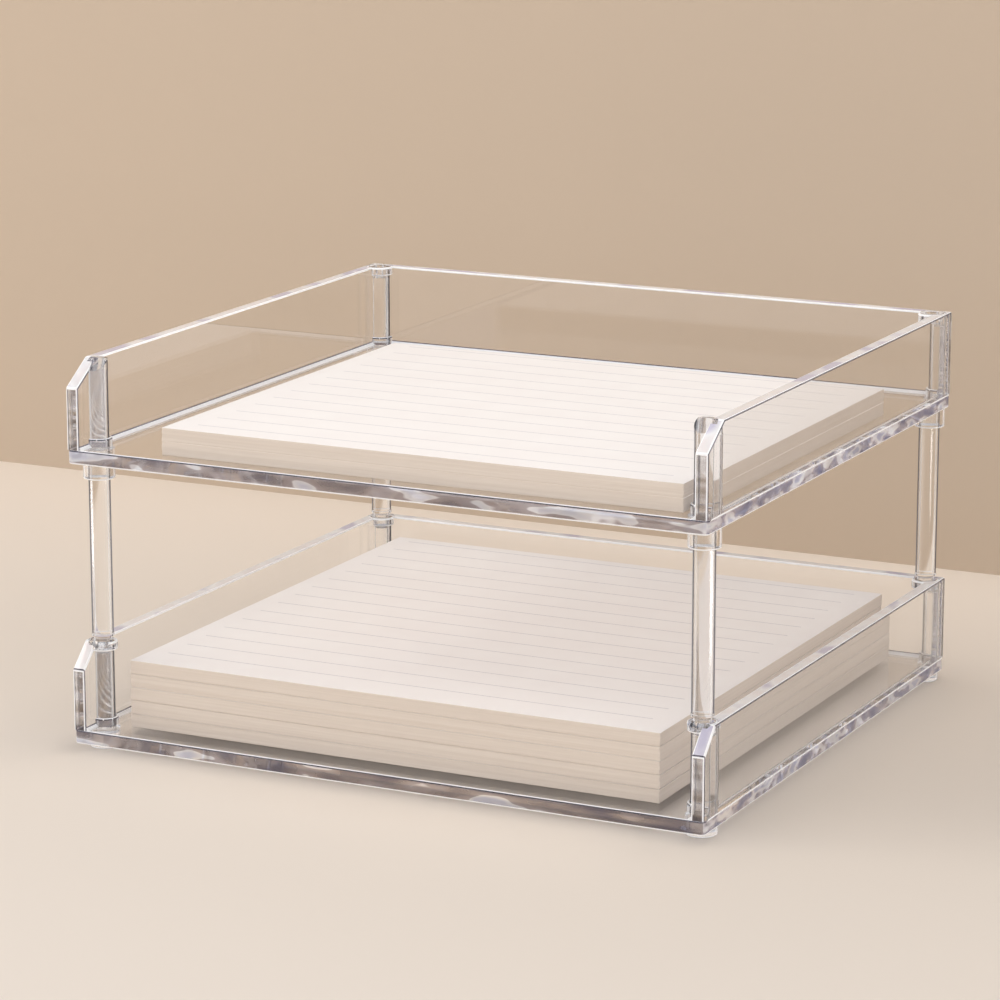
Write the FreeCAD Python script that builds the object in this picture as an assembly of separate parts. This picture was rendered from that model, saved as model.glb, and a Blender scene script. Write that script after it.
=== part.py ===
import FreeCAD, Part
import os

# A two-tier stacking letter tray in clear acrylic: two like trays, four round posts that
# carry the upper one, and two stacks of paper pads that slide out of the open fronts.
# Millimetres, +Z up, +X to the right. The open front faces -Y.
# The origin is on the surface under the feet, midway between the sides and midway from
# the front edge to the rear edge.

# Tray
tray_width = 330.0
tray_depth = 310.0
tier_pitch = 138.0  # from one tray's underside to the next one's
base_thickness = 7.0
base_corner_radius = 2.5
panel_thickness = 6.5
panel_height = 42.0  # above the base plate
lower_chamfer_run = 12.0  # sloping front corners of the side panels, along Y
upper_chamfer_run = 18.0
chamfer_rise = 12.0  # the same corners, along Z
polished_edge = 0.4  # bevel on every polished edge

# Gaps and fits
glue_line = 0.05  # between bonded faces
seat_gap = 0.05  # between flat faces that only rest on each other
socket_clearance = 0.05  # radial, spigot in socket
collar_clearance = 0.05  # radial, post in collar

# Posts
post_diameter = 10.5
spigot_diameter = 7.0
spigot_length = 5.0  # below the washer
spigot_tip_bevel = 0.8
washer_height = 3.3
washer_wall = 0.8
washer_lip_height = 0.9
washer_lip_overhang = 1.1

# Collars under the upper base plate
collar_wall = 2.4
collar_height = 9.0
collar_edge_margin = 0.2  # from the collar to the side of the base plate

# Socket columns in the tray's corners
column_wall = 1.7  # round the socket
socket_depth = 6.0
post_setback = 3.6  # from the top of the lower sloping corner to the front columns' axis
ferrule_wall = 1.7
ferrule_height = 4.5
base_ring_wall = 1.4
base_ring_height = 4.0

# Feet under the lower base plate
foot_diameter = 15.0
foot_height = 4.0
foot_bevel = 1.0

# Paper pads
pad_thickness = 6.6
lower_pad_count = 5
lower_pads_left_gap = 7.4  # from the pad to the rings round the columns
lower_pads_right_gap = 14.0
lower_pads_front_gap = 16.0  # from the pad to the front edge of the tray
lower_pads_rear_gap = 7.5  # from the pad to the back panel
upper_pad_count = 2
upper_pads_left_gap = 31.9
upper_pads_right_gap = 0.7
upper_pads_front_gap = 9.0
upper_pads_rear_gap = 58.5

# Sizes that follow
socket_diameter = spigot_diameter + 2 * socket_clearance
column_diameter = socket_diameter + 2 * column_wall
ferrule_diameter = column_diameter + 2 * (glue_line + ferrule_wall)
base_ring_diameter = column_diameter + 2 * (glue_line + base_ring_wall)
collar_bore = post_diameter + 2 * collar_clearance
collar_diameter = collar_bore + 2 * collar_wall
washer_bore = spigot_diameter + 2 * glue_line
washer_diameter = washer_bore + 2 * washer_wall
side_x = tray_width / 2
front_y = -tray_depth / 2
rear_y = tray_depth / 2
column_x = side_x - collar_edge_margin - collar_diameter / 2
front_column_y = front_y + lower_chamfer_run + post_setback
rear_column_y = rear_y - collar_edge_margin - collar_diameter / 2
floors = {"lower": foot_height, "upper": foot_height + tier_pitch}  # undersides of the trays
chamfer_runs = {"lower": lower_chamfer_run, "upper": upper_chamfer_run}

corners = {
    "front_left": (-column_x, front_column_y),
    "front_right": (column_x, front_column_y),
    "rear_left": (-column_x, rear_column_y),
    "rear_right": (column_x, rear_column_y),
}

# Corners whose column has a socket, with a ferrule round it. The upper tray's front columns
# are plain bars: they end under its longer sloping corners.
socketed = {
    "lower": ["front_left", "front_right", "rear_left", "rear_right"],
    "upper": ["rear_left", "rear_right"],
}


def box_between(low, high):
    size = [b - a for a, b in zip(low, high)]
    return Part.makeBox(*size, FreeCAD.Vector(*low))


def rod(place, bottom, top, diameter):
    x, y = place
    return Part.makeCylinder(diameter / 2, top - bottom, FreeCAD.Vector(x, y, bottom))


def rims(solid, height):
    """The edges that lie wholly at one height."""
    level = []
    for edge in solid.Edges:
        box = edge.BoundBox
        if abs(box.ZMin - height) < 1e-6 and abs(box.ZMax - height) < 1e-6:
            level.append(edge)
    return level


def bevel_rims(solid, bevel, *heights):
    edges = [edge for height in heights for edge in rims(solid, height)]
    return solid.makeChamfer(bevel, edges)


def save(name, solid):
    solid.exportStep("parts/" + name + ".step")


def base_plate(tier):
    floor = floors[tier]
    top = floor + base_thickness
    plate = box_between((-side_x, front_y, floor), (side_x, rear_y, top))
    upright = [edge for edge in plate.Edges if edge.BoundBox.ZLength > base_thickness / 2]
    plate = plate.makeFillet(base_corner_radius, upright)
    return bevel_rims(plate, polished_edge, floor, top)


def corner_recesses(tier):
    """What the panels give up to the columns, their ferrules and their rings."""
    bottom = floors[tier] + base_thickness
    top = bottom + panel_height
    ring_top = bottom + glue_line + base_ring_height + glue_line
    ferrule_bottom = top - ferrule_height - glue_line
    recesses = []
    for corner, place in corners.items():
        recesses.append(rod(place, bottom, top + 1, column_diameter + 2 * glue_line))
        recesses.append(rod(place, bottom, ring_top, base_ring_diameter + 2 * glue_line))
        if corner in socketed[tier]:
            recesses.append(rod(place, ferrule_bottom, top + 1, ferrule_diameter + 2 * glue_line))
    return recesses


def side_panel(tier, side):
    """side is -1 for the left panel and 1 for the right one."""
    bottom = floors[tier] + base_thickness + glue_line
    top = floors[tier] + base_thickness + panel_height
    outline = [
        (front_y, bottom),
        (front_y, top - chamfer_rise),
        (front_y + chamfer_runs[tier], top),
        (rear_y, top),
        (rear_y, bottom),
        (front_y, bottom),
    ]
    outer = side * side_x
    wire = Part.makePolygon([FreeCAD.Vector(outer, y, z) for y, z in outline])
    panel = Part.Face(wire).extrude(FreeCAD.Vector(-side * panel_thickness, 0, 0))
    panel = panel.makeChamfer(polished_edge, panel.Edges)
    return panel.cut(corner_recesses(tier))


def back_panel(tier):
    bottom = floors[tier] + base_thickness + glue_line
    top = floors[tier] + base_thickness + panel_height
    end_x = side_x - panel_thickness - glue_line
    inner_y = rear_y - panel_thickness
    panel = box_between((-end_x, inner_y, bottom), (end_x, rear_y, top))
    panel = panel.makeChamfer(polished_edge, panel.Edges)
    return panel.cut(corner_recesses(tier))


def sloping_corner(tier):
    """The wedge in front of the side panels' sloping corners."""
    top = floors[tier] + base_thickness + panel_height
    slope_end = front_y + chamfer_runs[tier]
    outline = [
        (front_y, top - chamfer_rise),
        (slope_end, top),
        (slope_end, top + 1),
        (front_y, top + 1),
        (front_y, top - chamfer_rise),
    ]
    wire = Part.makePolygon([FreeCAD.Vector(-side_x, y, z) for y, z in outline])
    return Part.Face(wire).extrude(FreeCAD.Vector(tray_width, 0, 0))


def column(corner, tier):
    """A round bar, with a blind socket in its top where the next tier's spigot goes in."""
    place = corners[corner]
    bottom = floors[tier] + base_thickness + glue_line
    top = floors[tier] + base_thickness + panel_height
    bar = rod(place, bottom, top, column_diameter).cut(sloping_corner(tier))
    if corner in socketed[tier]:
        bar = bar.cut(rod(place, top - socket_depth, top + 1, socket_diameter))
    return bar


def ferrule(place, tier):
    """The sleeve round a column's top, level with the panels."""
    top = floors[tier] + base_thickness + panel_height
    bottom = top - ferrule_height
    sleeve = bevel_rims(rod(place, bottom, top, ferrule_diameter), polished_edge, bottom, top)
    bore = rod(place, bottom - 1, top + 1, column_diameter + 2 * glue_line)
    return sleeve.cut([bore, sloping_corner(tier)])


def base_ring(place, tier):
    """The ring round a column's foot, on the base plate."""
    bottom = floors[tier] + base_thickness + glue_line
    top = bottom + base_ring_height
    ring = bevel_rims(rod(place, bottom, top, base_ring_diameter), polished_edge, top)
    return ring.cut(rod(place, bottom - 1, top + 1, column_diameter + 2 * glue_line))


def collar(place):
    """The ring under the upper base plate that a post's head goes into."""
    top = floors["upper"] - glue_line
    bottom = top - collar_height
    ring = bevel_rims(rod(place, bottom, top, collar_diameter), polished_edge, bottom)
    return ring.cut(rod(place, bottom - 1, top + 1, collar_bore))


def foot(place):
    top = floors["lower"] - glue_line
    bottom = floors["lower"] - foot_height
    disc = rod(place, bottom, top, foot_diameter)
    return bevel_rims(disc, foot_bevel, bottom)


def washer_levels():
    """Underside and top of the washers that stand on the lower ferrules."""
    bottom = floors["lower"] + base_thickness + panel_height + seat_gap
    return bottom, bottom + washer_height


def post(place):
    """A round bar, turned down at its lower end to a spigot."""
    washer_bottom, washer_top = washer_levels()
    shoulder = washer_top + glue_line
    head = floors["upper"] - seat_gap
    tip = washer_bottom - spigot_length
    bar = bevel_rims(rod(place, shoulder, head, post_diameter), polished_edge, shoulder, head)
    spigot = rod(place, tip, shoulder + 1, spigot_diameter)
    spigot = bevel_rims(spigot, spigot_tip_bevel, tip)
    return bar.fuse(spigot).removeSplitter()


def washer(place):
    """The thin ring between a post's shoulder and the ferrule, with a lip at its top."""
    bottom, top = washer_levels()
    neck = rod(place, bottom, top, washer_diameter)
    lip = rod(place, top - washer_lip_height, top, washer_diameter + 2 * washer_lip_overhang)
    return neck.fuse(lip).cut(rod(place, bottom - 1, top + 1, washer_bore)).removeSplitter()


def pad(low, high, level):
    """One pad; low and high are the corners of its outline, level is its underside."""
    return box_between((*low, level), (*high, level + pad_thickness))


def save_pads(tier, count, low, high):
    tray_top = floors[tier] + base_thickness
    for number in range(count):
        level = tray_top + seat_gap + number * (pad_thickness + seat_gap)
        save(f"{tier}_pad_{number + 1}", pad(low, high, level))


def save_tray(tier):
    save(tier + "_base_plate", base_plate(tier))
    save(tier + "_left_panel", side_panel(tier, -1))
    save(tier + "_right_panel", side_panel(tier, 1))
    save(tier + "_back_panel", back_panel(tier))
    for corner, place in corners.items():
        save(f"{tier}_{corner}_column", column(corner, tier))
        save(f"{tier}_{corner}_base_ring", base_ring(place, tier))
        if corner in socketed[tier]:
            save(f"{tier}_{corner}_ferrule", ferrule(place, tier))


def save_all():
    os.makedirs("parts", exist_ok=True)
    save_tray("lower")
    save_tray("upper")
    for corner, place in corners.items():
        save(corner + "_foot", foot(place))
        save(corner + "_collar", collar(place))
        save(corner + "_post", post(place))
        save(corner + "_washer", washer(place))
    clear_x = column_x - base_ring_diameter / 2
    back_y = rear_y - panel_thickness
    low = (-clear_x + lower_pads_left_gap, front_y + lower_pads_front_gap)
    high = (clear_x - lower_pads_right_gap, back_y - lower_pads_rear_gap)
    save_pads("lower", lower_pad_count, low, high)
    low = (-clear_x + upper_pads_left_gap, front_y + upper_pads_front_gap)
    high = (clear_x - upper_pads_right_gap, back_y - upper_pads_rear_gap)
    save_pads("upper", upper_pad_count, low, high)


save_all()
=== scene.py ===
import math
import random

import bpy
from mathutils import Matrix, Vector


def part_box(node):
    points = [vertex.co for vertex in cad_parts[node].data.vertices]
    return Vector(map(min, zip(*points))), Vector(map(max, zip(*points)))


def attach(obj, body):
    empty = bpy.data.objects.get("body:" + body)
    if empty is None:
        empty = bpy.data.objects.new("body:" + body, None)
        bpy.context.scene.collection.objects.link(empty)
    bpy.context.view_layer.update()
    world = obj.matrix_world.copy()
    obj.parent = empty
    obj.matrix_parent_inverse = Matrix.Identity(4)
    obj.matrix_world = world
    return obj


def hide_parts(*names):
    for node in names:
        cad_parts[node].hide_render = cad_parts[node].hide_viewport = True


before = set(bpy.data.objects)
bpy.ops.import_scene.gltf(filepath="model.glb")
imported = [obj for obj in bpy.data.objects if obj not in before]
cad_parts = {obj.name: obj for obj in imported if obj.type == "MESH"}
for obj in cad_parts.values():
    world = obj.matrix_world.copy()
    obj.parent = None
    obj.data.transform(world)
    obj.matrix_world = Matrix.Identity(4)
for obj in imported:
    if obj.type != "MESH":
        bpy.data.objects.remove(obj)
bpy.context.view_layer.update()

mm = 0.001
tiny = 1e-6  # m, below which two heights or places are the same
overcut = 1 * mm  # how far a cutting solid reaches past what it cuts
mergeReach = 0.002 * mm  # points nearer than this become one
corners = ["front_left", "front_right", "rear_left", "rear_right"]

print("frame loaded:", len(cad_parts), "CAD nodes")


def linearColour(hexValue):
    channels = [int(hexValue[i:i + 2], 16) / 255 for i in (1, 3, 5)]
    linear = [c / 12.92 if c <= 0.04045 else ((c + 0.055) / 1.055) ** 2.4 for c in channels]
    return (*linear, 1.0)


def addNode(tree, kind, settings=None, inputs=None, stops=()):
    # an input takes a value, an output or a node's first output; stops are a colour ramp's, in order
    node = tree.nodes.new(kind)
    for name, value in (settings or {}).items():
        setattr(node, name, value)
    for name, value in (inputs or {}).items():
        if isinstance(value, bpy.types.Node):
            value = value.outputs[0]
        if isinstance(value, bpy.types.NodeSocket):
            tree.links.new(value, node.inputs[name])
        else:
            node.inputs[name].default_value = value
    for number, (position, colour) in enumerate(stops):
        elements = node.color_ramp.elements
        stop = elements[number] if number < 2 else elements.new(position)
        stop.position, stop.color = position, colour
    return node


def newMaterial(name):
    material = bpy.data.materials.new(name)
    material.use_nodes = True
    material.node_tree.nodes.clear()
    return material, material.node_tree


def deselectAll():
    if bpy.context.object and bpy.context.object.mode != "OBJECT":
        bpy.ops.object.mode_set(mode="OBJECT")
    bpy.ops.object.select_all(action="DESELECT")


def makeActive(piece):
    deselectAll()
    piece.select_set(True)
    bpy.context.view_layer.objects.active = piece


def addSlots(piece, materials):
    for material in materials:
        piece.data.materials.append(material)


def addBlock(name, low, high, slots=()):
    deselectAll()
    size = [b - a for a, b in zip(low, high)]
    middle = [(a + b) / 2 for a, b in zip(low, high)]
    bpy.ops.mesh.primitive_cube_add(size=1.0, location=middle, scale=size)
    block = bpy.context.object
    block.name = name
    bpy.ops.object.transform_apply(location=True, rotation=True, scale=True)
    addSlots(block, slots)
    return block


def addRod(name, centre, bottom, top, radius, sides, slots=(), wallSlot=0):
    deselectAll()
    bpy.ops.mesh.primitive_cylinder_add(
        vertices=sides, radius=radius, depth=top - bottom, location=(*centre, (bottom + top) / 2))
    rod = bpy.context.object
    rod.name = name
    bpy.ops.object.transform_apply(location=True, rotation=True, scale=True)
    addSlots(rod, slots)
    for face in rod.data.polygons:
        if abs(face.normal.z) < 0.5:
            face.material_index = wallSlot
    return rod


def copyPiece(piece, name, offset=(0, 0, 0)):
    # the copy has its own mesh, moved by the offset
    copy = piece.copy()
    copy.name = name
    copy.data = piece.data.copy()
    copy.data.transform(Matrix.Translation(offset))
    bpy.context.scene.collection.objects.link(copy)
    return copy


def bevelEdges(piece, wanted, width, segments, slot=0):
    # bevels the edges whose two end points pass the test, and gives the new faces the slot
    makeActive(piece)
    bpy.ops.object.mode_set(mode="EDIT")
    bpy.ops.mesh.select_mode(type="EDGE")
    bpy.ops.mesh.select_all(action="DESELECT")
    bpy.ops.object.mode_set(mode="OBJECT")
    points = piece.data.vertices
    for edge in piece.data.edges:
        edge.select = wanted(points[edge.vertices[0]].co, points[edge.vertices[1]].co)
    bpy.ops.object.mode_set(mode="EDIT")
    bpy.ops.mesh.bevel(offset=width, segments=segments, affect="EDGES", material=slot)
    bpy.ops.object.mode_set(mode="OBJECT")


def atLevel(*levels):
    return lambda a, b: any(abs(a.z - z) < tiny and abs(b.z - z) < tiny for z in levels)


def slicePiece(piece, point, normal, trim=False):
    # draws an edge all round where the plane passes; trim takes away the side that the normal points to
    makeActive(piece)
    bpy.ops.object.mode_set(mode="EDIT")
    bpy.ops.mesh.select_all(action="SELECT")
    bpy.ops.mesh.bisect(plane_co=point, plane_no=normal, use_fill=trim, clear_outer=trim)
    bpy.ops.object.mode_set(mode="OBJECT")


def combine(piece, others, operation):
    # welds the others to the piece, or cuts them out of it, and uses them up
    for other in others:
        makeActive(piece)
        boolean = piece.modifiers.new("combine", "BOOLEAN")
        boolean.operation = operation
        boolean.solver = "EXACT"
        boolean.object = other
        bpy.ops.object.modifier_apply(modifier=boolean.name)
        bpy.data.objects.remove(other)


def smoothFinish(piece, sharpAngle):
    # flat faces stay flat, and each small bevel shades as a rounded arris
    makeActive(piece)
    bpy.ops.object.mode_set(mode="EDIT")
    bpy.ops.mesh.select_all(action="SELECT")
    bpy.ops.mesh.remove_doubles(threshold=mergeReach)
    bpy.ops.mesh.normals_make_consistent(inside=False)
    bpy.ops.object.mode_set(mode="OBJECT")
    bpy.ops.object.shade_smooth_by_angle(angle=math.radians(sharpAngle))
    weighted = piece.modifiers.new("weighted", "WEIGHTED_NORMAL")
    weighted.keep_sharp = True
    weighted.weight = 100
    bpy.ops.object.modifier_apply(modifier=weighted.name)


acrylicValues = {
    "ior": 1.49,
    "tint": "#fefefe",
    "shadowFace": "#fbfbfc",  # what a face-on sheet lets through
    "shadowEdge": "#9da3ad",  # and what it lets through at a glancing angle
    "shadowBlend": 0.35,
    "paintedBandStart": 0.14,  # how far before a round piece's outline its painted highlight band starts
    "paintedBandFull": 0.04,  # and where it is full; as far past the outline's start it is halved
    "bandDetail": 1.5,
}

# clearness: the share of light that goes through, where the rest is scattered in the finish's colour, which
# on the edges, rims and bands is painted light and shade
# ripple: the length and the height of the surface's waves
# waves and bands: the lengths along X, Y and Z of bands of painted piped light and reflections, and their
# ramp of colours
# rim, paintedRimColour and paintedBand: a round piece's outline, from its start to its full painted colour on
# a scale from 0 for face-on to 1 for edge-on, and the strength of the painted highlight band before it
acrylicFinishes = {
    # Cast acrylic (PMMA) sheet: water-clear and dead flat, so its faces barely show.
    "castAcrylicFace": {"clearness": 1.0, "roughness": 0.0},
    # The arrises: a fine, nearly opaque white line, a painted highlight that outlines every piece.
    "arrisPaintedHighlight": {"clearness": 0.05, "roughness": 0.3, "ripple": (4 * mm, 0.01 * mm)},
    # The panels' laser-cut upper edges and sloping corners, flame polished: painted piped light, milky white
    # with lavender bands.
    "flameEdgePaintedLight": {
        "clearness": 0.25, "roughness": 0.03, "ripple": (11 * mm, 0.03 * mm),
        "waves": (26 * mm, 26 * mm, 26 * mm),
        "bands": [(0.38, "#d3cfe2"), (0.47, "#ffffff"), (0.58, "#fbf4f2"), (0.66, "#ffffff")]},
    # Cast round bar: its faintly wavy skin softens what is seen through it. It is clear in the middle, with a
    # painted highlight band and then a painted dark outline, the shade that a thick round bar shows.
    "castAcrylicBar": {
        "clearness": 1.0, "roughness": 0.1, "rim": (0.34, 0.62), "paintedRimColour": "#1d2136", "paintedBand": 0.4},
    # Turned rings and discs: thin walls, outlined by a fine white painted highlight.
    "turnedAcrylicRing": {
        "clearness": 1.0, "roughness": 0.0, "rim": (0.62, 0.9), "paintedRimColour": "#f4f4fa", "paintedBand": 0.85},
    # The panels' front ends, where one looks a long way into the sheet: painted reflections in bands of slate
    # and grey-brown.
    "sheetEndPaintedLight": {
        "clearness": 0.8, "roughness": 0.02, "waves": (0, 0, 8 * mm),
        "bands": [(0.36, "#5d5960"), (0.46, "#a2978f"), (0.58, "#f4f4f8")]},
    # The polished side of each arris, which turns the light away and shows as a thin slate line.
    "shadedArris": {"clearness": 0.6, "roughness": 0.05, "colour": "#5c5b6c"},
    # The plates' front and back edges: painted shade and reflections, grey-brown with a few blocks of white
    # light.
    "plateFrontPaintedLight": {
        "clearness": 0.6, "roughness": 0.02, "waves": (30 * mm, 30 * mm, 9 * mm),
        "bands": [(0.36, "#6b6674"), (0.45, "#8f8688"), (0.52, "#a89d9a"), (0.575, "#b9afb0"),
                  (0.59, "#ffffff"), (0.66, "#e3e6f5")]},
    # The plates' side edges: painted reflections, white and lavender-grey, in small soft patches.
    "plateSidePaintedLight": {
        "clearness": 0.6, "roughness": 0.02, "waves": (15 * mm, 15 * mm, 6 * mm),
        "bands": [(0.36, "#7c80a0"), (0.45, "#aaa7ba"), (0.5, "#c4bcc2"), (0.54, "#f4f0f4"),
                  (0.61, "#ffffff"), (0.67, "#c5c6dc")]},
}


def addRipple(tree, glass, finish):
    length, height = finish["ripple"]
    place = addNode(tree, "ShaderNodeTexCoord")
    waves = addNode(tree, "ShaderNodeTexNoise", inputs={
        "Vector": place.outputs["Object"], "Scale": 1 / length, "Detail": 1.0})
    bump = addNode(tree, "ShaderNodeBump", inputs={"Height": waves, "Distance": height, "Strength": 1.0})
    tree.links.new(bump.outputs[0], glass.inputs["Normal"])


def addBands(tree, glass, finish):
    # painted piped light and reflections: noise bands through a colour ramp, put into the base colour
    # where a wave is 0, nothing changes along its axis
    place = addNode(tree, "ShaderNodeTexCoord")
    squash = addNode(tree, "ShaderNodeMapping", inputs={
        "Vector": place.outputs["Object"],
        "Scale": tuple(1 / wave if wave else 0.0 for wave in finish["waves"])})
    bands = addNode(tree, "ShaderNodeTexNoise", inputs={
        "Vector": squash, "Scale": 1.0, "Detail": acrylicValues["bandDetail"]})
    colours = addNode(tree, "ShaderNodeValToRGB", inputs={0: bands}, stops=[
        (position, linearColour(colour)) for position, colour in finish["bands"]])
    tree.links.new(colours.outputs[0], glass.inputs["Base Color"])


def addRim(tree, glass, finish):
    # a painted outline in the base colour, set by how edge-on the surface is, and before it a band of lower
    # clearness where the white tint shows as a painted highlight
    start, full = finish["rim"]
    paintedBand, before, near = finish["paintedBand"], acrylicValues["paintedBandStart"], acrylicValues["paintedBandFull"]
    turned = addNode(tree, "ShaderNodeLayerWeight", inputs={"Blend": 0.5}).outputs["Facing"]
    outline = addNode(tree, "ShaderNodeMapRange", {"interpolation_type": "SMOOTHSTEP"}, {
        0: turned, 1: start, 2: full})
    body = addNode(tree, "ShaderNodeMix", {"data_type": "RGBA"}, {
        0: outline, 6: linearColour(acrylicValues["tint"]), 7: linearColour(finish["paintedRimColour"])})
    tree.links.new(body.outputs[2], glass.inputs["Base Color"])
    shares = [(start - before, 1), (start - near, 1 - paintedBand), (start + near, 1 - paintedBand / 2)]
    band = addNode(tree, "ShaderNodeValToRGB", inputs={0: turned}, stops=[
        (position, (share, share, share, 1)) for position, share in shares])
    tree.links.new(band.outputs[0], glass.inputs["Transmission Weight"])


def makeAcrylic(name, finish):
    material, tree = newMaterial(name)
    glass = addNode(tree, "ShaderNodeBsdfPrincipled", inputs={
        "Base Color": linearColour(finish.get("colour", acrylicValues["tint"])), "IOR": acrylicValues["ior"],
        "Roughness": finish["roughness"], "Transmission Weight": finish["clearness"]})
    for key, add in {"ripple": addRipple, "bands": addBands, "rim": addRim}.items():
        if key in finish:
            add(tree, glass, finish)
    # light goes straight on to matt surfaces, and less of it where it meets the acrylic at a glancing angle
    glancing = addNode(tree, "ShaderNodeLayerWeight", inputs={"Blend": acrylicValues["shadowBlend"]})
    shade = addNode(tree, "ShaderNodeMix", {"data_type": "RGBA"}, {
        0: glancing.outputs["Facing"], 6: linearColour(acrylicValues["shadowFace"]),
        7: linearColour(acrylicValues["shadowEdge"])})
    clear = addNode(tree, "ShaderNodeBsdfTransparent", inputs={"Color": shade.outputs[2]})
    rays = addNode(tree, "ShaderNodeLightPath")
    surface = glass
    for kind in ("Is Diffuse Ray", "Is Shadow Ray"):
        surface = addNode(tree, "ShaderNodeMixShader", inputs={0: rays.outputs[kind], 1: surface, 2: clear})
    addNode(tree, "ShaderNodeOutputMaterial", inputs={"Surface": surface})
    return material


acrylicSlots = [makeAcrylic(name, finish) for name, finish in acrylicFinishes.items()]
faceSlot, arrisSlot, flameSlot, barSlot, ringSlot, endSlot, shadeSlot, frontSlot, sideSlot = range(
    len(acrylicSlots))
print(len(acrylicSlots), "acrylic finishes made")


trayValues = {
    "arris": 0.85 * mm,  # bevel on every polished edge
    "bead": 1.9 * mm,  # the bead of cement along each inner joint
    "beadLine": 0.4 * mm,  # the painted line of shade along the bead's top
    "slopeStep": 0.8 * mm,  # the columns are cut this much lower, so that the panels' slopes stay outlined
    "slopeRun": {"lower": 12 * mm, "upper": 18 * mm},  # of the side panels' sloping corners
    "slopeRise": 12 * mm,
    "columnRadius": 5.25 * mm,
    "socketRadius": 3.55 * mm,
    "socketDepth": 6 * mm,
    "collarBore": 5.3 * mm,  # radius
    "footBevel": 1 * mm,
    "plateCorner": 2.5 * mm,
    "plateCornerSegments": 8,
    "weld": 0.1 * mm,  # how far a bonded piece reaches into its neighbour
    "seat": 0.3 * mm,  # depth of the shallow seat that leaves a seam round a ferrule
    "seamGap": 0.15 * mm,  # width of the seam round a column
    "seamSkin": 0.5 * mm,  # how far the seam stays under the outer faces
    "rodSides": 96,
    "sharpAngle": 50,  # degrees
    "edgeReach": 3 * mm,  # how far in from the plate's outline a face may lie and still be on its edge
    "topReach": 0.6 * mm,  # and how far down from the panels' tops
    "leaning": 0.3,  # the part of its normal from which a face leans that way
    "facing": 0.8,  # and from which it faces that way
}


def makePlate(tier):
    low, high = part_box(tier + "_base_plate")
    arris, corner = trayValues["arris"], trayValues["plateCorner"]
    plate = addBlock(tier + "Plate", low, high, acrylicSlots)
    bevelEdges(plate, lambda a, b: abs(a.z - b.z) > mm, corner, trayValues["plateCornerSegments"])
    free = low.y + corner + mm  # the upper edges further back are bonded to the panels
    bevelEdges(plate, lambda a, b: abs(a.z - b.z) < tiny and (a.z < low.z + mm or max(a.y, b.y) < free),
               arris, 2, arrisSlot)
    # the joint line, above which the outer faces take the arrises' painted highlight
    slicePiece(plate, (0, 0, high.z - arris), (0, 0, 1))
    return plate


def makePanel(tier, which):
    low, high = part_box(f"{tier}_{which}_panel")
    low.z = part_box(tier + "_base_plate")[1].z - trayValues["weld"]
    if which == "back":
        high.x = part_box(tier + "_right_panel")[0].x + trayValues["weld"]
        low.x = -high.x
    panel = addBlock(f"{tier}{which.title()}Panel", low, high, acrylicSlots)
    if which != "back":
        run, rise = trayValues["slopeRun"][tier], trayValues["slopeRise"]
        slicePiece(panel, (0, low.y, high.z - rise), (0, -rise, run), trim=True)
    bevelEdges(panel, lambda a, b: max(a.z, b.z) > low.z + mm, trayValues["arris"], 2, arrisSlot)
    return panel


def makeBead(tier, which):
    # the three-cornered bead of solvent cement along a panel's foot, inside the tray
    size, weld = trayValues["bead"], trayValues["weld"]
    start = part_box(tier + "_left_panel")[0].y + trayValues["arris"]
    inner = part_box(tier + "_right_panel")[0].x
    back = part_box(tier + "_back_panel")[0].y
    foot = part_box(tier + "_base_plate")[1].z - weld
    # two opposite corners, a point at the foot of the slanting face, and the way that face looks
    near, far, slantFoot, slant = {
        "left": ((-inner - weld, start), (-inner + size, back), (-inner + size, 0), (1, 0, 1)),
        "right": ((inner - size, start), (inner + weld, back), (inner - size, 0), (-1, 0, 1)),
        "back": ((-inner, back - size), (inner, back + weld), (0, back - size), (0, -1, 1)),
    }[which]
    bead = addBlock("bead", (*near, foot), (*far, foot + size), acrylicSlots)
    slicePiece(bead, (*slantFoot, foot), slant, trim=True)
    line = foot + size - trayValues["beadLine"]
    slicePiece(bead, (0, 0, line), (0, 0, 1))
    # the bead's top line takes painted shade, the rest the arrises' painted highlight
    for face in bead.data.polygons:
        face.material_index = shadeSlot if face.center.z > line else arrisSlot
    return bead


def slopeWedge(tier):
    # the air in front of the side panels' sloping corners, for cutting the columns
    run, rise, step = trayValues["slopeRun"][tier], trayValues["slopeRise"], trayValues["slopeStep"]
    low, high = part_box(tier + "_left_panel")
    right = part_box(tier + "_right_panel")[1].x
    start = high.z - rise - step
    end = low.y + run * (1 + step / rise)
    wedge = addBlock("wedge", (low.x, low.y, start), (right, end, high.z + overcut), acrylicSlots)
    slicePiece(wedge, (0, low.y, start), (0, rise, -run), trim=True)
    return wedge


def nodeCentre(node):
    low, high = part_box(node)
    return (low.x + high.x) / 2, (low.y + high.y) / 2


def nodeRadius(node):
    low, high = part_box(node)
    return (high.x - low.x) / 2


def addTurned(node, centre, bottom, top, broken, bevel=trayValues["arris"], segments=2):
    # a ring or disc as wide as its CAD node, with its arrises broken at the given levels
    turned = addRod("turned", centre, bottom, top, nodeRadius(node), trayValues["rodSides"], acrylicSlots,
                    ringSlot)
    bevelEdges(turned, atLevel(*broken), bevel, segments, arrisSlot)
    return turned


def seatFerrule(panels, tier, corner):
    # the shallow seat in the panels' tops that leaves a seam round the ferrule
    centre, top = nodeCentre(f"{tier}_{corner}_base_ring"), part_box(tier + "_left_panel")[1].z
    for panel in panels:
        seat = addRod("seat", centre, top - trayValues["seat"], top + overcut,
                      nodeRadius(f"{tier}_{corner}_ferrule"), trayValues["rodSides"], acrylicSlots)
        combine(panel, [seat], "DIFFERENCE")


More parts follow.
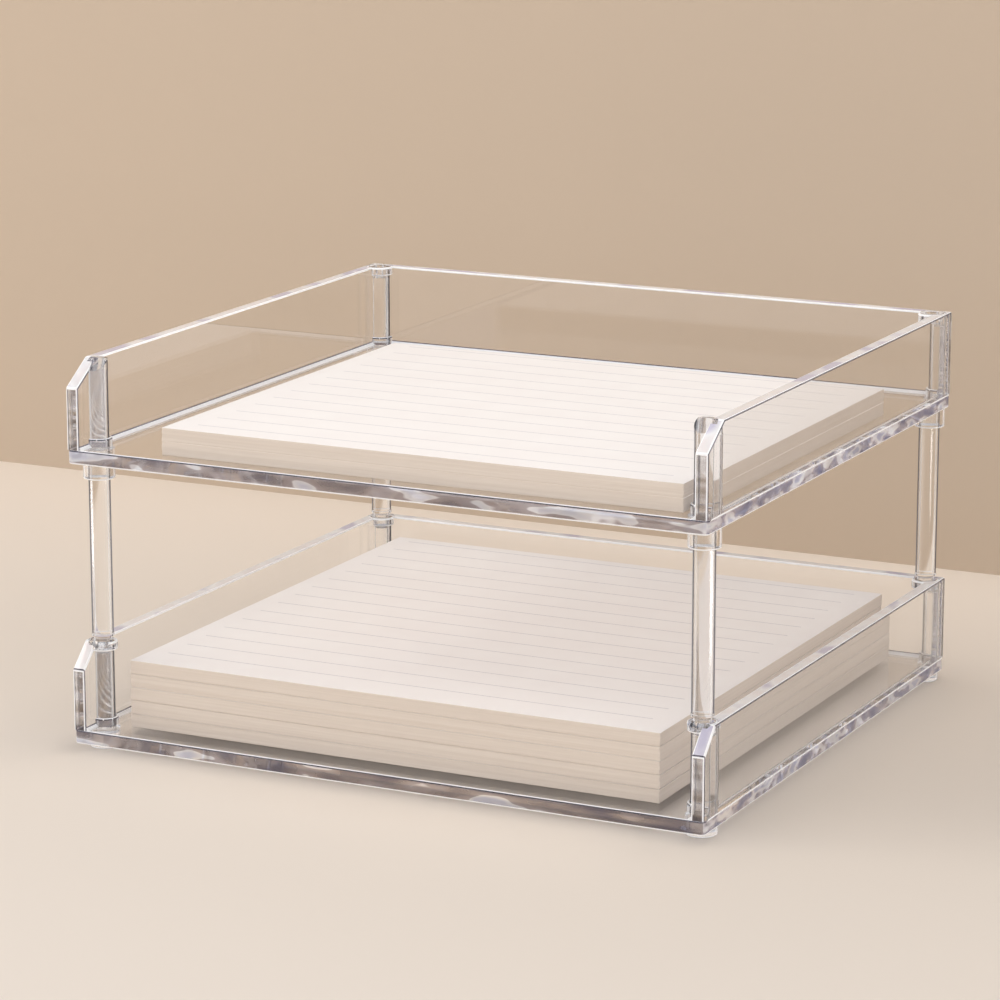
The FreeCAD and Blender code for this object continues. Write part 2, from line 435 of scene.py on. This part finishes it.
def weldColumn(tray, tier, corner, ferruled, wedge):
    # the column with its base ring and its ferrule, if it has one
    centre = nodeCentre(f"{tier}_{corner}_base_ring")
    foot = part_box(tier + "_base_plate")[1].z - trayValues["weld"]
    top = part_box(tier + "_left_panel")[1].z
    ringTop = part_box(f"{tier}_{corner}_base_ring")[1].z
    column = addRod("column", centre, foot, top, trayValues["columnRadius"], trayValues["rodSides"],
                    acrylicSlots, barSlot)
    parts = [column, addTurned(f"{tier}_{corner}_base_ring", centre, foot, ringTop, [ringTop])]
    if ferruled:
        low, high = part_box(f"{tier}_{corner}_ferrule")
        parts.append(addTurned(f"{tier}_{corner}_ferrule", centre, low.z, high.z, [low.z, high.z]))
    if corner.startswith("front"):
        for part in parts:
            combine(part, [copyPiece(wedge, "cutter")], "DIFFERENCE")
    combine(tray, parts, "UNION")


def cutSeam(tray, tier, corner):
    # the fine gap round a column where it passes the plate and the panels
    x, y = nodeCentre(f"{tier}_{corner}_base_ring")
    skin, radius = trayValues["seamSkin"], trayValues["columnRadius"]
    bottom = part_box(tier + "_base_plate")[0].z + skin
    panelLow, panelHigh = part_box(tier + "_left_panel")
    top = panelHigh.z - skin
    if corner.startswith("front"):
        # it stops just under the sloping cut
        run, rise = trayValues["slopeRun"][tier], trayValues["slopeRise"]
        top -= trayValues["slopeStep"] + rise - rise * (y - radius - panelLow.y) / run
    halfGap, sides = trayValues["seamGap"] / 2, trayValues["rodSides"]
    seam = addRod("seam", (x, y), bottom, top, radius + halfGap, sides, acrylicSlots)
    core = addRod("core", (x, y), bottom - overcut, top + overcut, radius - halfGap, sides, acrylicSlots)
    for ring in (seam, core):
        for face in ring.data.polygons:
            face.material_index = barSlot
    combine(seam, [core], "DIFFERENCE")
    combine(tray, [seam], "DIFFERENCE")


def weldFoot(tray, corner):
    low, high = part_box(corner + "_foot")
    foot = addTurned(corner + "_foot", nodeCentre("lower_" + corner + "_base_ring"), low.z,
                     high.z + trayValues["weld"], [low.z], trayValues["footBevel"], 3)
    combine(tray, [foot], "UNION")


def weldCollar(tray, corner):
    weld, centre = trayValues["weld"], nodeCentre("upper_" + corner + "_base_ring")
    low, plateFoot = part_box(corner + "_collar")[0].z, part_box("upper_base_plate")[0].z
    collar = addTurned(corner + "_collar", centre, low, plateFoot + weld, [low])
    bore = addRod("bore", centre, low - overcut, plateFoot + 2 * weld, trayValues["collarBore"],
                  trayValues["rodSides"], acrylicSlots)
    combine(collar, [bore], "DIFFERENCE")
    combine(tray, [collar], "UNION")


def cutSocket(tray, tier, corner):
    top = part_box(tier + "_left_panel")[1].z
    socket = addRod("socket", nodeCentre(f"{tier}_{corner}_base_ring"), top - trayValues["socketDepth"],
                    top + overcut, trayValues["socketRadius"], trayValues["rodSides"], acrylicSlots)
    combine(tray, [socket], "DIFFERENCE")


arrisValues = {
    "downward": -0.1,  # the upward part of its normal below which a facet looks down
    "upright": 0.3,  # below which it stands upright
    "level": 0.65,  # and above which it lies level
    "even": 0.02,  # how nearly alike two parts are on a facet that leans evenly
}


def finishArrises(piece, panelTop=None):
    # of each arris's two facets, the one turned away from the panel's or plate's face takes the painted
    # shade, but along the panels' tops the inner ones keep the painted highlight
    for face in piece.data.polygons:
        if face.material_index != arrisSlot:
            continue
        centre, normal = face.center, face.normal
        x, y, z = (abs(part) for part in normal)
        inward = normal.x * centre.x < -tiny or y > x and normal.y < 0 < centre.y
        if panelTop and centre.z > panelTop - mm and inward:
            continue
        level = z > arrisValues["level"]
        frontal = z < arrisValues["upright"] and y > x
        even = min(abs(x - z), abs(y - z)) < arrisValues["even"]
        if normal.z > arrisValues["downward"] and not (level or frontal or even):
            face.material_index = shadeSlot


def finishEdges(tray, tier):
    # every sawn and flame-polished edge face takes its own slot of painted light and shade
    plateLow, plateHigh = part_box(tier + "_base_plate")
    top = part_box(tier + "_left_panel")[1].z
    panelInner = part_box(tier + "_right_panel")[0].x
    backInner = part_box(tier + "_back_panel")[0].y
    reach, leaning, facing = trayValues["edgeReach"], trayValues["leaning"], trayValues["facing"]
    for face in tray.data.polygons:
        if face.material_index != faceSlot:
            continue
        centre, normal = face.center, face.normal
        outermost = (abs(centre.x) > plateHigh.x - reach or centre.y < plateLow.y + reach
                     or centre.y > plateHigh.y - reach)
        plateEdge = outermost and abs(normal.z) < leaning and plateLow.z < centre.z < plateHigh.z
        panelTop = centre.z > top - trayValues["topReach"] and normal.z > facing
        slope = normal.y < -leaning and normal.z > leaning and centre.z > plateHigh.z + mm
        if normal.y < -facing and centre.y < plateLow.y + mm and centre.z > plateHigh.z:
            face.material_index = endSlot
        elif plateEdge and centre.z > plateHigh.z - trayValues["arris"]:
            face.material_index = arrisSlot
        elif plateEdge:
            face.material_index = frontSlot if abs(normal.y) > abs(normal.x) else sideSlot
        elif abs(centre.x) > panelInner and (panelTop or slope) or panelTop and centre.y > backInner:
            face.material_index = flameSlot


def makeTray(tier):
    print(tier, "tray: plate and panels")
    sheets = ["left", "right", "back"]
    tray = makePlate(tier)
    panels = [makePanel(tier, which) for which in sheets]
    ferruled = [corner for corner in corners if f"{tier}_{corner}_ferrule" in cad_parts]
    for corner in ferruled:
        seatFerrule(panels, tier, corner)
    combine(tray, panels + [makeBead(tier, which) for which in sheets], "UNION")
    print(tier, "tray: columns, ferrules and rings")
    wedge = slopeWedge(tier)
    for corner in corners:
        weldColumn(tray, tier, corner, corner in ferruled, wedge)
        cutSeam(tray, tier, corner)
        if tier == "lower":
            weldFoot(tray, corner)
        else:
            weldCollar(tray, corner)
        if corner in ferruled:
            cutSocket(tray, tier, corner)
    bpy.data.objects.remove(wedge)
    tray.name = tier + "Tray"
    smoothFinish(tray, trayValues["sharpAngle"])
    finishArrises(tray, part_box(tier + "_left_panel")[1].z)
    finishEdges(tray, tier)
    ending = "_foot" if tier == "lower" else "_collar"
    nodes = [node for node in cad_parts
             if (node.startswith(tier) and "_pad_" not in node) or node.endswith(ending)]
    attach(tray, tier + "_tray")
    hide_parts(*nodes)
    print(tray.name, len(tray.data.polygons), "faces")


for tier in ("lower", "upper"):
    makeTray(tier)


postValues = {
    "arris": 0.4 * mm,
    "spigotRadius": 3.5 * mm,
    "tipBevel": 0.8 * mm,
    "neckRadius": 4.35 * mm,
    "lipHeight": 0.9 * mm,
    "sides": 96,
    "sharpAngle": 50,  # degrees
}


def makePost(corner):
    # the post, turned down to its spigot, with its lipped washer
    weld, sides = trayValues["weld"], postValues["sides"]
    centre = nodeCentre(corner + "_post")
    low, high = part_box(corner + "_post")
    washerLow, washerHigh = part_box(corner + "_washer")
    post = addRod(corner + "Post", centre, washerHigh.z, high.z, nodeRadius(corner + "_post"), sides,
                  acrylicSlots, barSlot)
    bevelEdges(post, atLevel(washerHigh.z, high.z), postValues["arris"], 2, arrisSlot)
    spigot = addRod("spigot", centre, low.z, washerHigh.z + weld, postValues["spigotRadius"], sides,
                    acrylicSlots, barSlot)
    bevelEdges(spigot, atLevel(low.z), postValues["tipBevel"], 2, arrisSlot)
    neck = addRod("neck", centre, washerLow.z, washerHigh.z, postValues["neckRadius"], sides, acrylicSlots,
                  ringSlot)
    lip = addRod("lip", centre, washerHigh.z - postValues["lipHeight"], washerHigh.z + weld,
                 nodeRadius(corner + "_washer"), sides, acrylicSlots, ringSlot)
    combine(post, [spigot, neck, lip], "UNION")
    smoothFinish(post, postValues["sharpAngle"])
    finishArrises(post)
    return post


posts = [makePost(corners[0])]
firstX, firstY = nodeCentre(corners[0] + "_post")
for corner in corners[1:]:
    x, y = nodeCentre(corner + "_post")
    posts.append(copyPiece(posts[0], corner + "Post", (x - firstX, y - firstY, 0)))
for corner, post in zip(corners, posts):
    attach(post, "posts")
    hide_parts(corner + "_post", corner + "_washer")
print("posts made")


paperValues = {
    "sheet": ("#f3ece7", "#f8f3ee"),  # the shades between which the fibres vary
    "cut": ("#d5c7b8", "#e6dacc"),  # and the streaks on the cut sides, darker than the sheet as painted shade
    "line": "#c9c4c4",
    "linePitch": 18 * mm,
    "lineWidth": 0.6 * mm,
    "fibre": 16.67 * mm,
    "streak": (83.3 * mm, 83.3 * mm, 0.909 * mm),  # lengths along X, Y and Z
    "streakDepth": 0.1 * mm,
    "streakStrength": 0.5,
    "fibreDetail": 3.0,
    "streakDetail": 2.0,
    "upward": 0.7,  # the upward part of its normal from which a face is a sheet, and not a cut side
    "roughness": 0.85,
    "ior": 1.5,
}
padValues = {
    # the rules' margins from the pad's front, left and right
    "lower": {"count": 5, "lines": 15, "front": 20 * mm, "left": 10 * mm, "right": 12.6 * mm},
    "upper": {"count": 2, "lines": 13, "front": 13.4 * mm, "left": 12.5 * mm, "right": 11 * mm},
    "layers": 6,  # groups of sheets that lie a little unevenly
    "slip": 0.18 * mm,
    "levelStep": 0.01 * mm,  # points whose heights are this near lie on one level and slip together
    "seed": 7,
    "corner": 0.5 * mm,
    "softEdge": 0.25 * mm,
    "margin": 0.25 * mm,  # the sheets' unevenness stays inside the CAD block
    "sharpAngle": 40,  # degrees
}


# Uncoated writing paper: matt and cream-white, with fine grey rules on the top sheet and, on the cut sides,
# soft streaks where the sheets lie a little unevenly, in a darker colour that is painted shade.
def makePaper(tier):
    low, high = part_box(tier + "_pad_1")
    ruling, pitch = padValues[tier], paperValues["linePitch"]
    firstLine = low.y + ruling["front"]
    material, tree = newMaterial("ruledPaper" + tier.title())
    place = addNode(tree, "ShaderNodeTexCoord").outputs["Object"]
    x, y = addNode(tree, "ShaderNodeSeparateXYZ", inputs={0: place}).outputs[:2]
    surface = addNode(tree, "ShaderNodeNewGeometry")
    facing = addNode(tree, "ShaderNodeSeparateXYZ", inputs={0: surface.outputs["Normal"]})
    upwards = addNode(tree, "ShaderNodeMath", {"operation": "GREATER_THAN"}, {
        0: facing.outputs[2], 1: paperValues["upward"]})
    fromFirst = addNode(tree, "ShaderNodeMath", {"operation": "SUBTRACT"}, {0: y, 1: firstLine})
    wrapped = addNode(tree, "ShaderNodeMath", {"operation": "WRAP"}, {
        0: fromFirst, 1: pitch / 2, 2: -pitch / 2})
    fromLine = addNode(tree, "ShaderNodeMath", {"operation": "ABSOLUTE"}, {0: wrapped})
    # 1 on a rule of the top sheet, 0 elsewhere
    ruled = upwards
    for operation, value, limit in [
            ("LESS_THAN", fromLine, paperValues["lineWidth"] / 2),
            ("GREATER_THAN", x, low.x + ruling["left"]),
            ("LESS_THAN", x, high.x - ruling["right"]),
            ("GREATER_THAN", y, firstLine - pitch / 2),
            ("LESS_THAN", y, firstLine + (ruling["lines"] - 0.5) * pitch)]:
        test = addNode(tree, "ShaderNodeMath", {"operation": operation}, {0: value, 1: limit})
        ruled = addNode(tree, "ShaderNodeMath", {"operation": "MULTIPLY"}, {0: ruled, 1: test})

    fibres = addNode(tree, "ShaderNodeTexNoise", inputs={
        "Vector": place, "Scale": 1 / paperValues["fibre"], "Detail": paperValues["fibreDetail"]})
    squash = addNode(tree, "ShaderNodeMapping", inputs={
        "Vector": place, "Scale": tuple(1 / length for length in paperValues["streak"])})
    streaks = addNode(tree, "ShaderNodeTexNoise", inputs={
        "Vector": squash, "Scale": 1.0, "Detail": paperValues["streakDetail"]})
    sheet, cut = [
        addNode(tree, "ShaderNodeMix", {"data_type": "RGBA"}, {
            0: pattern, 6: linearColour(dark), 7: linearColour(light)}).outputs[2]
        for pattern, (dark, light) in ((fibres, paperValues["sheet"]), (streaks, paperValues["cut"]))]
    # the cut sides take the darker colour of painted shade, the tops the sheet's
    base = addNode(tree, "ShaderNodeMix", {"data_type": "RGBA"}, {0: upwards, 6: cut, 7: sheet})
    inked = addNode(tree, "ShaderNodeMix", {"data_type": "RGBA"}, {
        0: ruled, 6: base.outputs[2], 7: linearColour(paperValues["line"])})
    bump = addNode(tree, "ShaderNodeBump", inputs={
        "Height": streaks, "Distance": paperValues["streakDepth"],
        "Strength": paperValues["streakStrength"]})
    paper = addNode(tree, "ShaderNodeBsdfPrincipled", inputs={
        "Base Color": inked.outputs[2], "Roughness": paperValues["roughness"], "IOR": paperValues["ior"],
        "Normal": bump})
    addNode(tree, "ShaderNodeOutputMaterial", inputs={"Surface": paper})
    return material


randomSlip = random.Random(padValues["seed"])


def makePad(node, body, paper):
    low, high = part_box(node)
    margin = Vector((padValues["margin"], padValues["margin"], 0))
    pad = addBlock(node.title().replace("_", ""), low + margin, high - margin, [paper])
    layers = padValues["layers"]
    for layer in range(1, layers):
        slicePiece(pad, (0, 0, low.z + (high.z - low.z) * layer / layers), (0, 0, 1))
    slips = {}
    for point in pad.data.vertices:
        level = round(point.co.z / padValues["levelStep"])
        if level not in slips:
            slips[level] = Vector([randomSlip.uniform(-1, 1) * padValues["slip"] for _ in range(2)] + [0])
        point.co += slips[level]
    bevelEdges(pad, lambda a, b: abs(a.z - b.z) > 0.1 * mm, padValues["corner"], 3)
    bevelEdges(pad, atLevel(low.z, high.z), padValues["softEdge"], 2)
    smoothFinish(pad, padValues["sharpAngle"])
    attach(pad, body)
    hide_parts(node)
    return pad


pads = {}
for tier in ("lower", "upper"):
    paper = makePaper(tier)
    pads[tier] = [makePad(f"{tier}_pad_{number}", tier + "_pads", paper)
                  for number in range(1, padValues[tier]["count"] + 1)]
print("paper pads made")


studioValues = {
    "floor": "#eadfd2",
    "floorSize": 8.0,  # m
    "floorRoughness": 0.6,
    "wall": "#c4b29d",
    "wallPlace": 370 * mm,
    "wallHeight": 420 * mm,
    "wallWidth": 4.0,  # m
    "wallRoughness": 0.9,
}


def makePlain(name, colour, roughness, oneSided=False):
    material, tree = newMaterial(name)
    shader = addNode(tree, "ShaderNodeBsdfPrincipled", inputs={
        "Base Color": linearColour(colour), "Roughness": roughness})
    if oneSided:
        # seen from behind it isn't there, so it hides nothing
        side = addNode(tree, "ShaderNodeNewGeometry")
        clear = addNode(tree, "ShaderNodeBsdfTransparent")
        shader = addNode(tree, "ShaderNodeMixShader", inputs={
            0: side.outputs["Backfacing"], 1: shader, 2: clear})
    addNode(tree, "ShaderNodeOutputMaterial", inputs={"Surface": shader})
    return material


def makeStudio():
    deselectAll()
    bpy.ops.mesh.primitive_plane_add(size=studioValues["floorSize"], location=(0, 0, 0))
    floor = bpy.context.object
    floor.name = "floor"
    floor.data.materials.append(makePlain("paleFloor", studioValues["floor"], studioValues["floorRoughness"]))
    deselectAll()
    bpy.ops.mesh.primitive_plane_add(
        size=studioValues["wallWidth"], location=(0, studioValues["wallPlace"], 0),
        rotation=(math.pi / 2, 0, 0))
    wall = bpy.context.object
    wall.name = "wall"
    bpy.ops.object.transform_apply(location=True, rotation=True, scale=True)
    for point in wall.data.vertices:
        point.co.z = studioValues["wallHeight"] if point.co.z > 0 else 0
    wall.data.materials.append(
        makePlain("warmBackdrop", studioValues["wall"], studioValues["wallRoughness"], oneSided=True))


worldValues = {
    "soft": "#fdfcff",  # the light that falls on matt surfaces
    "horizon": 1.08,  # its strength from low down
    "overhead": 0.15,  # and from above
    "softSpan": (0.3, 0.8),  # the heights between which it changes, where straight up is 1
    "sideways": 1.5,  # how much brighter the left and right are than the front
    "background": "#e9dfd3",
    "patches": [(0.44, "#141830"), (0.52, "#8a8eb0"), (0.6, "#ffffff")],  # which only clear pieces pick up
    "patchScale": 1.6,
    "patchDetail": 0.5,
    "patchSquash": 2.0,  # how much flatter than wide they are
    "patchSpan": (0.05, 0.16),  # the heights over which they come in above the plain background
}


def makeWorld():
    world = bpy.data.worlds.new("studio")
    bpy.context.scene.world = world
    world.use_nodes = True
    tree = world.node_tree
    tree.nodes.clear()
    place = addNode(tree, "ShaderNodeTexCoord").outputs["Generated"]
    direction = addNode(tree, "ShaderNodeSeparateXYZ", inputs={0: place})
    across, up = direction.outputs[0], direction.outputs[2]

    height = addNode(tree, "ShaderNodeMapRange", {"interpolation_type": "SMOOTHSTEP"}, {
        0: up, 1: worldValues["softSpan"][0], 2: worldValues["softSpan"][1], 3: worldValues["horizon"],
        4: worldValues["overhead"]})
    aside = addNode(tree, "ShaderNodeMath", {"operation": "MULTIPLY"}, {0: across, 1: across})
    side = addNode(tree, "ShaderNodeMath", {"operation": "MULTIPLY_ADD"}, {
        0: aside, 1: worldValues["sideways"], 2: 1.0})
    strength = addNode(tree, "ShaderNodeMath", {"operation": "MULTIPLY"}, {0: height, 1: side})
    soft = addNode(tree, "ShaderNodeBackground", inputs={
        "Color": linearColour(worldValues["soft"]), "Strength": strength})

    squash = addNode(tree, "ShaderNodeMapping", inputs={
        "Vector": place, "Scale": (1.0, 1.0, worldValues["patchSquash"])})
    patches = addNode(tree, "ShaderNodeTexNoise", inputs={
        "Vector": squash, "Scale": worldValues["patchScale"], "Detail": worldValues["patchDetail"]})
    colours = addNode(tree, "ShaderNodeValToRGB", inputs={0: patches}, stops=[
        (position, linearColour(colour)) for position, colour in worldValues["patches"]])
    above = addNode(tree, "ShaderNodeMapRange", inputs={
        0: up, 1: worldValues["patchSpan"][0], 2: worldValues["patchSpan"][1]})
    room = addNode(tree, "ShaderNodeMix", {"data_type": "RGBA"}, {
        0: above, 6: linearColour(worldValues["background"]), 7: colours})
    seen = addNode(tree, "ShaderNodeBackground", inputs={"Color": room.outputs[2], "Strength": 1.0})
    plain = addNode(tree, "ShaderNodeBackground", inputs={
        "Color": linearColour(worldValues["background"]), "Strength": 1.0})

    rays = addNode(tree, "ShaderNodeLightPath")
    throughGlass = addNode(tree, "ShaderNodeMath", {"operation": "MAXIMUM"}, {
        0: rays.outputs["Is Glossy Ray"], 1: rays.outputs["Is Transmission Ray"]})
    mixed = addNode(tree, "ShaderNodeMixShader", inputs={0: throughGlass, 1: soft, 2: seen})
    shown = addNode(tree, "ShaderNodeMixShader", inputs={
        0: rays.outputs["Is Camera Ray"], 1: mixed, 2: plain})
    addNode(tree, "ShaderNodeOutputWorld", inputs={"Surface": shown})


# the lamps' sizes, places and targets are in metres
softboxSize = (0.8, 0.8)
glintSize = (0.16, 0.2)
lampValues = {
    "keySoftbox": {
        "place": (-1.6, -0.7, 1.5), "target": (0, 0, 0.1), "size": softboxSize, "watts": 10,
        "colour": "#fffaf4"},
    "topSoftbox": {
        "place": (0.2, 0.1, 2.2), "target": (0, 0, 0.1), "size": softboxSize, "watts": 15.5,
        "colour": "#fffdfa"},
    "rightGlint": {
        "place": (0.45, -0.1, 0.1), "target": (0, -0.1, 0.1), "size": glintSize, "watts": 0.9,
        "colour": "#ffffff"},
    "leftGlint": {
        "place": (-0.48, -0.3, 0.1), "target": (-0.16, -0.14, 0.1), "size": glintSize, "watts": 0.9,
        "colour": "#ffffff"},
}


def addLamp(name):
    values = lampValues[name]
    data = bpy.data.lights.new(name, "AREA")
    data.shape = "RECTANGLE"
    data.size, data.size_y = values["size"]
    data.energy = values["watts"]
    data.color = linearColour(values["colour"])[:3]
    lamp = bpy.data.objects.new(name, data)
    bpy.context.scene.collection.objects.link(lamp)
    lamp.location = values["place"]
    aim = Vector(values["target"]) - Vector(values["place"])
    lamp.rotation_euler = aim.to_track_quat("-Z", "Y").to_euler()
    lamp.visible_camera = False
    return lamp


def makeGroup(name, pieces):
    group = bpy.data.collections.new(name)
    for piece in pieces:
        group.objects.link(piece)
    return group


def onlyGlint(lamp, pieces):
    # the lamp only draws a bright streak along the pieces
    lamp.visible_diffuse = False
    lamp.visible_transmission = False
    lamp.light_linking.receiver_collection = makeGroup(lamp.name + "Lights", pieces)


def letThrough(lamp, pieces):
    # the pieces throw no shadow in this lamp's light, so that what lies under them stays bright
    passed = makeGroup(lamp.name + "Passes", pieces)
    lamp.light_linking.blocker_collection = passed
    for link in passed.collection_objects:
        link.light_linking.link_state = "EXCLUDE"


makeStudio()
makeWorld()
addLamp("keySoftbox")
letThrough(addLamp("topSoftbox"), pads["upper"])
onlyGlint(addLamp("rightGlint"), posts)
onlyGlint(addLamp("leftGlint"), posts)
print("studio, world and lamps made")


cameraValues = {
    "place": (829.4 * mm, -1709.1 * mm, 553.1 * mm),
    "target": (-10.2 * mm, -5.0 * mm, 109.0 * mm),
    "lens": 142.67,  # this and the sensor's width are in millimetres already
    "sensor": 36.0,
    "bounces": 96,  # a ray passes many clear faces before it leaves the stack
    "clearPasses": 40,
}
cameraData = bpy.data.cameras.new("camera")
cameraData.lens = cameraValues["lens"]
cameraData.sensor_width = cameraValues["sensor"]
camera = bpy.data.objects.new("camera", cameraData)
bpy.context.scene.collection.objects.link(camera)
camera.location = cameraValues["place"]
aim = Vector(cameraValues["target"]) - Vector(cameraValues["place"])
camera.rotation_euler = aim.to_track_quat("-Z", "Y").to_euler()
bpy.context.scene.camera = camera
bpy.context.scene.view_settings.view_transform = "Standard"
cycles = bpy.context.scene.cycles
cycles.max_bounces = cycles.transmission_bounces = cycles.glossy_bounces = cameraValues["bounces"]
cycles.transparent_max_bounces = cameraValues["clearPasses"]
print("camera set")
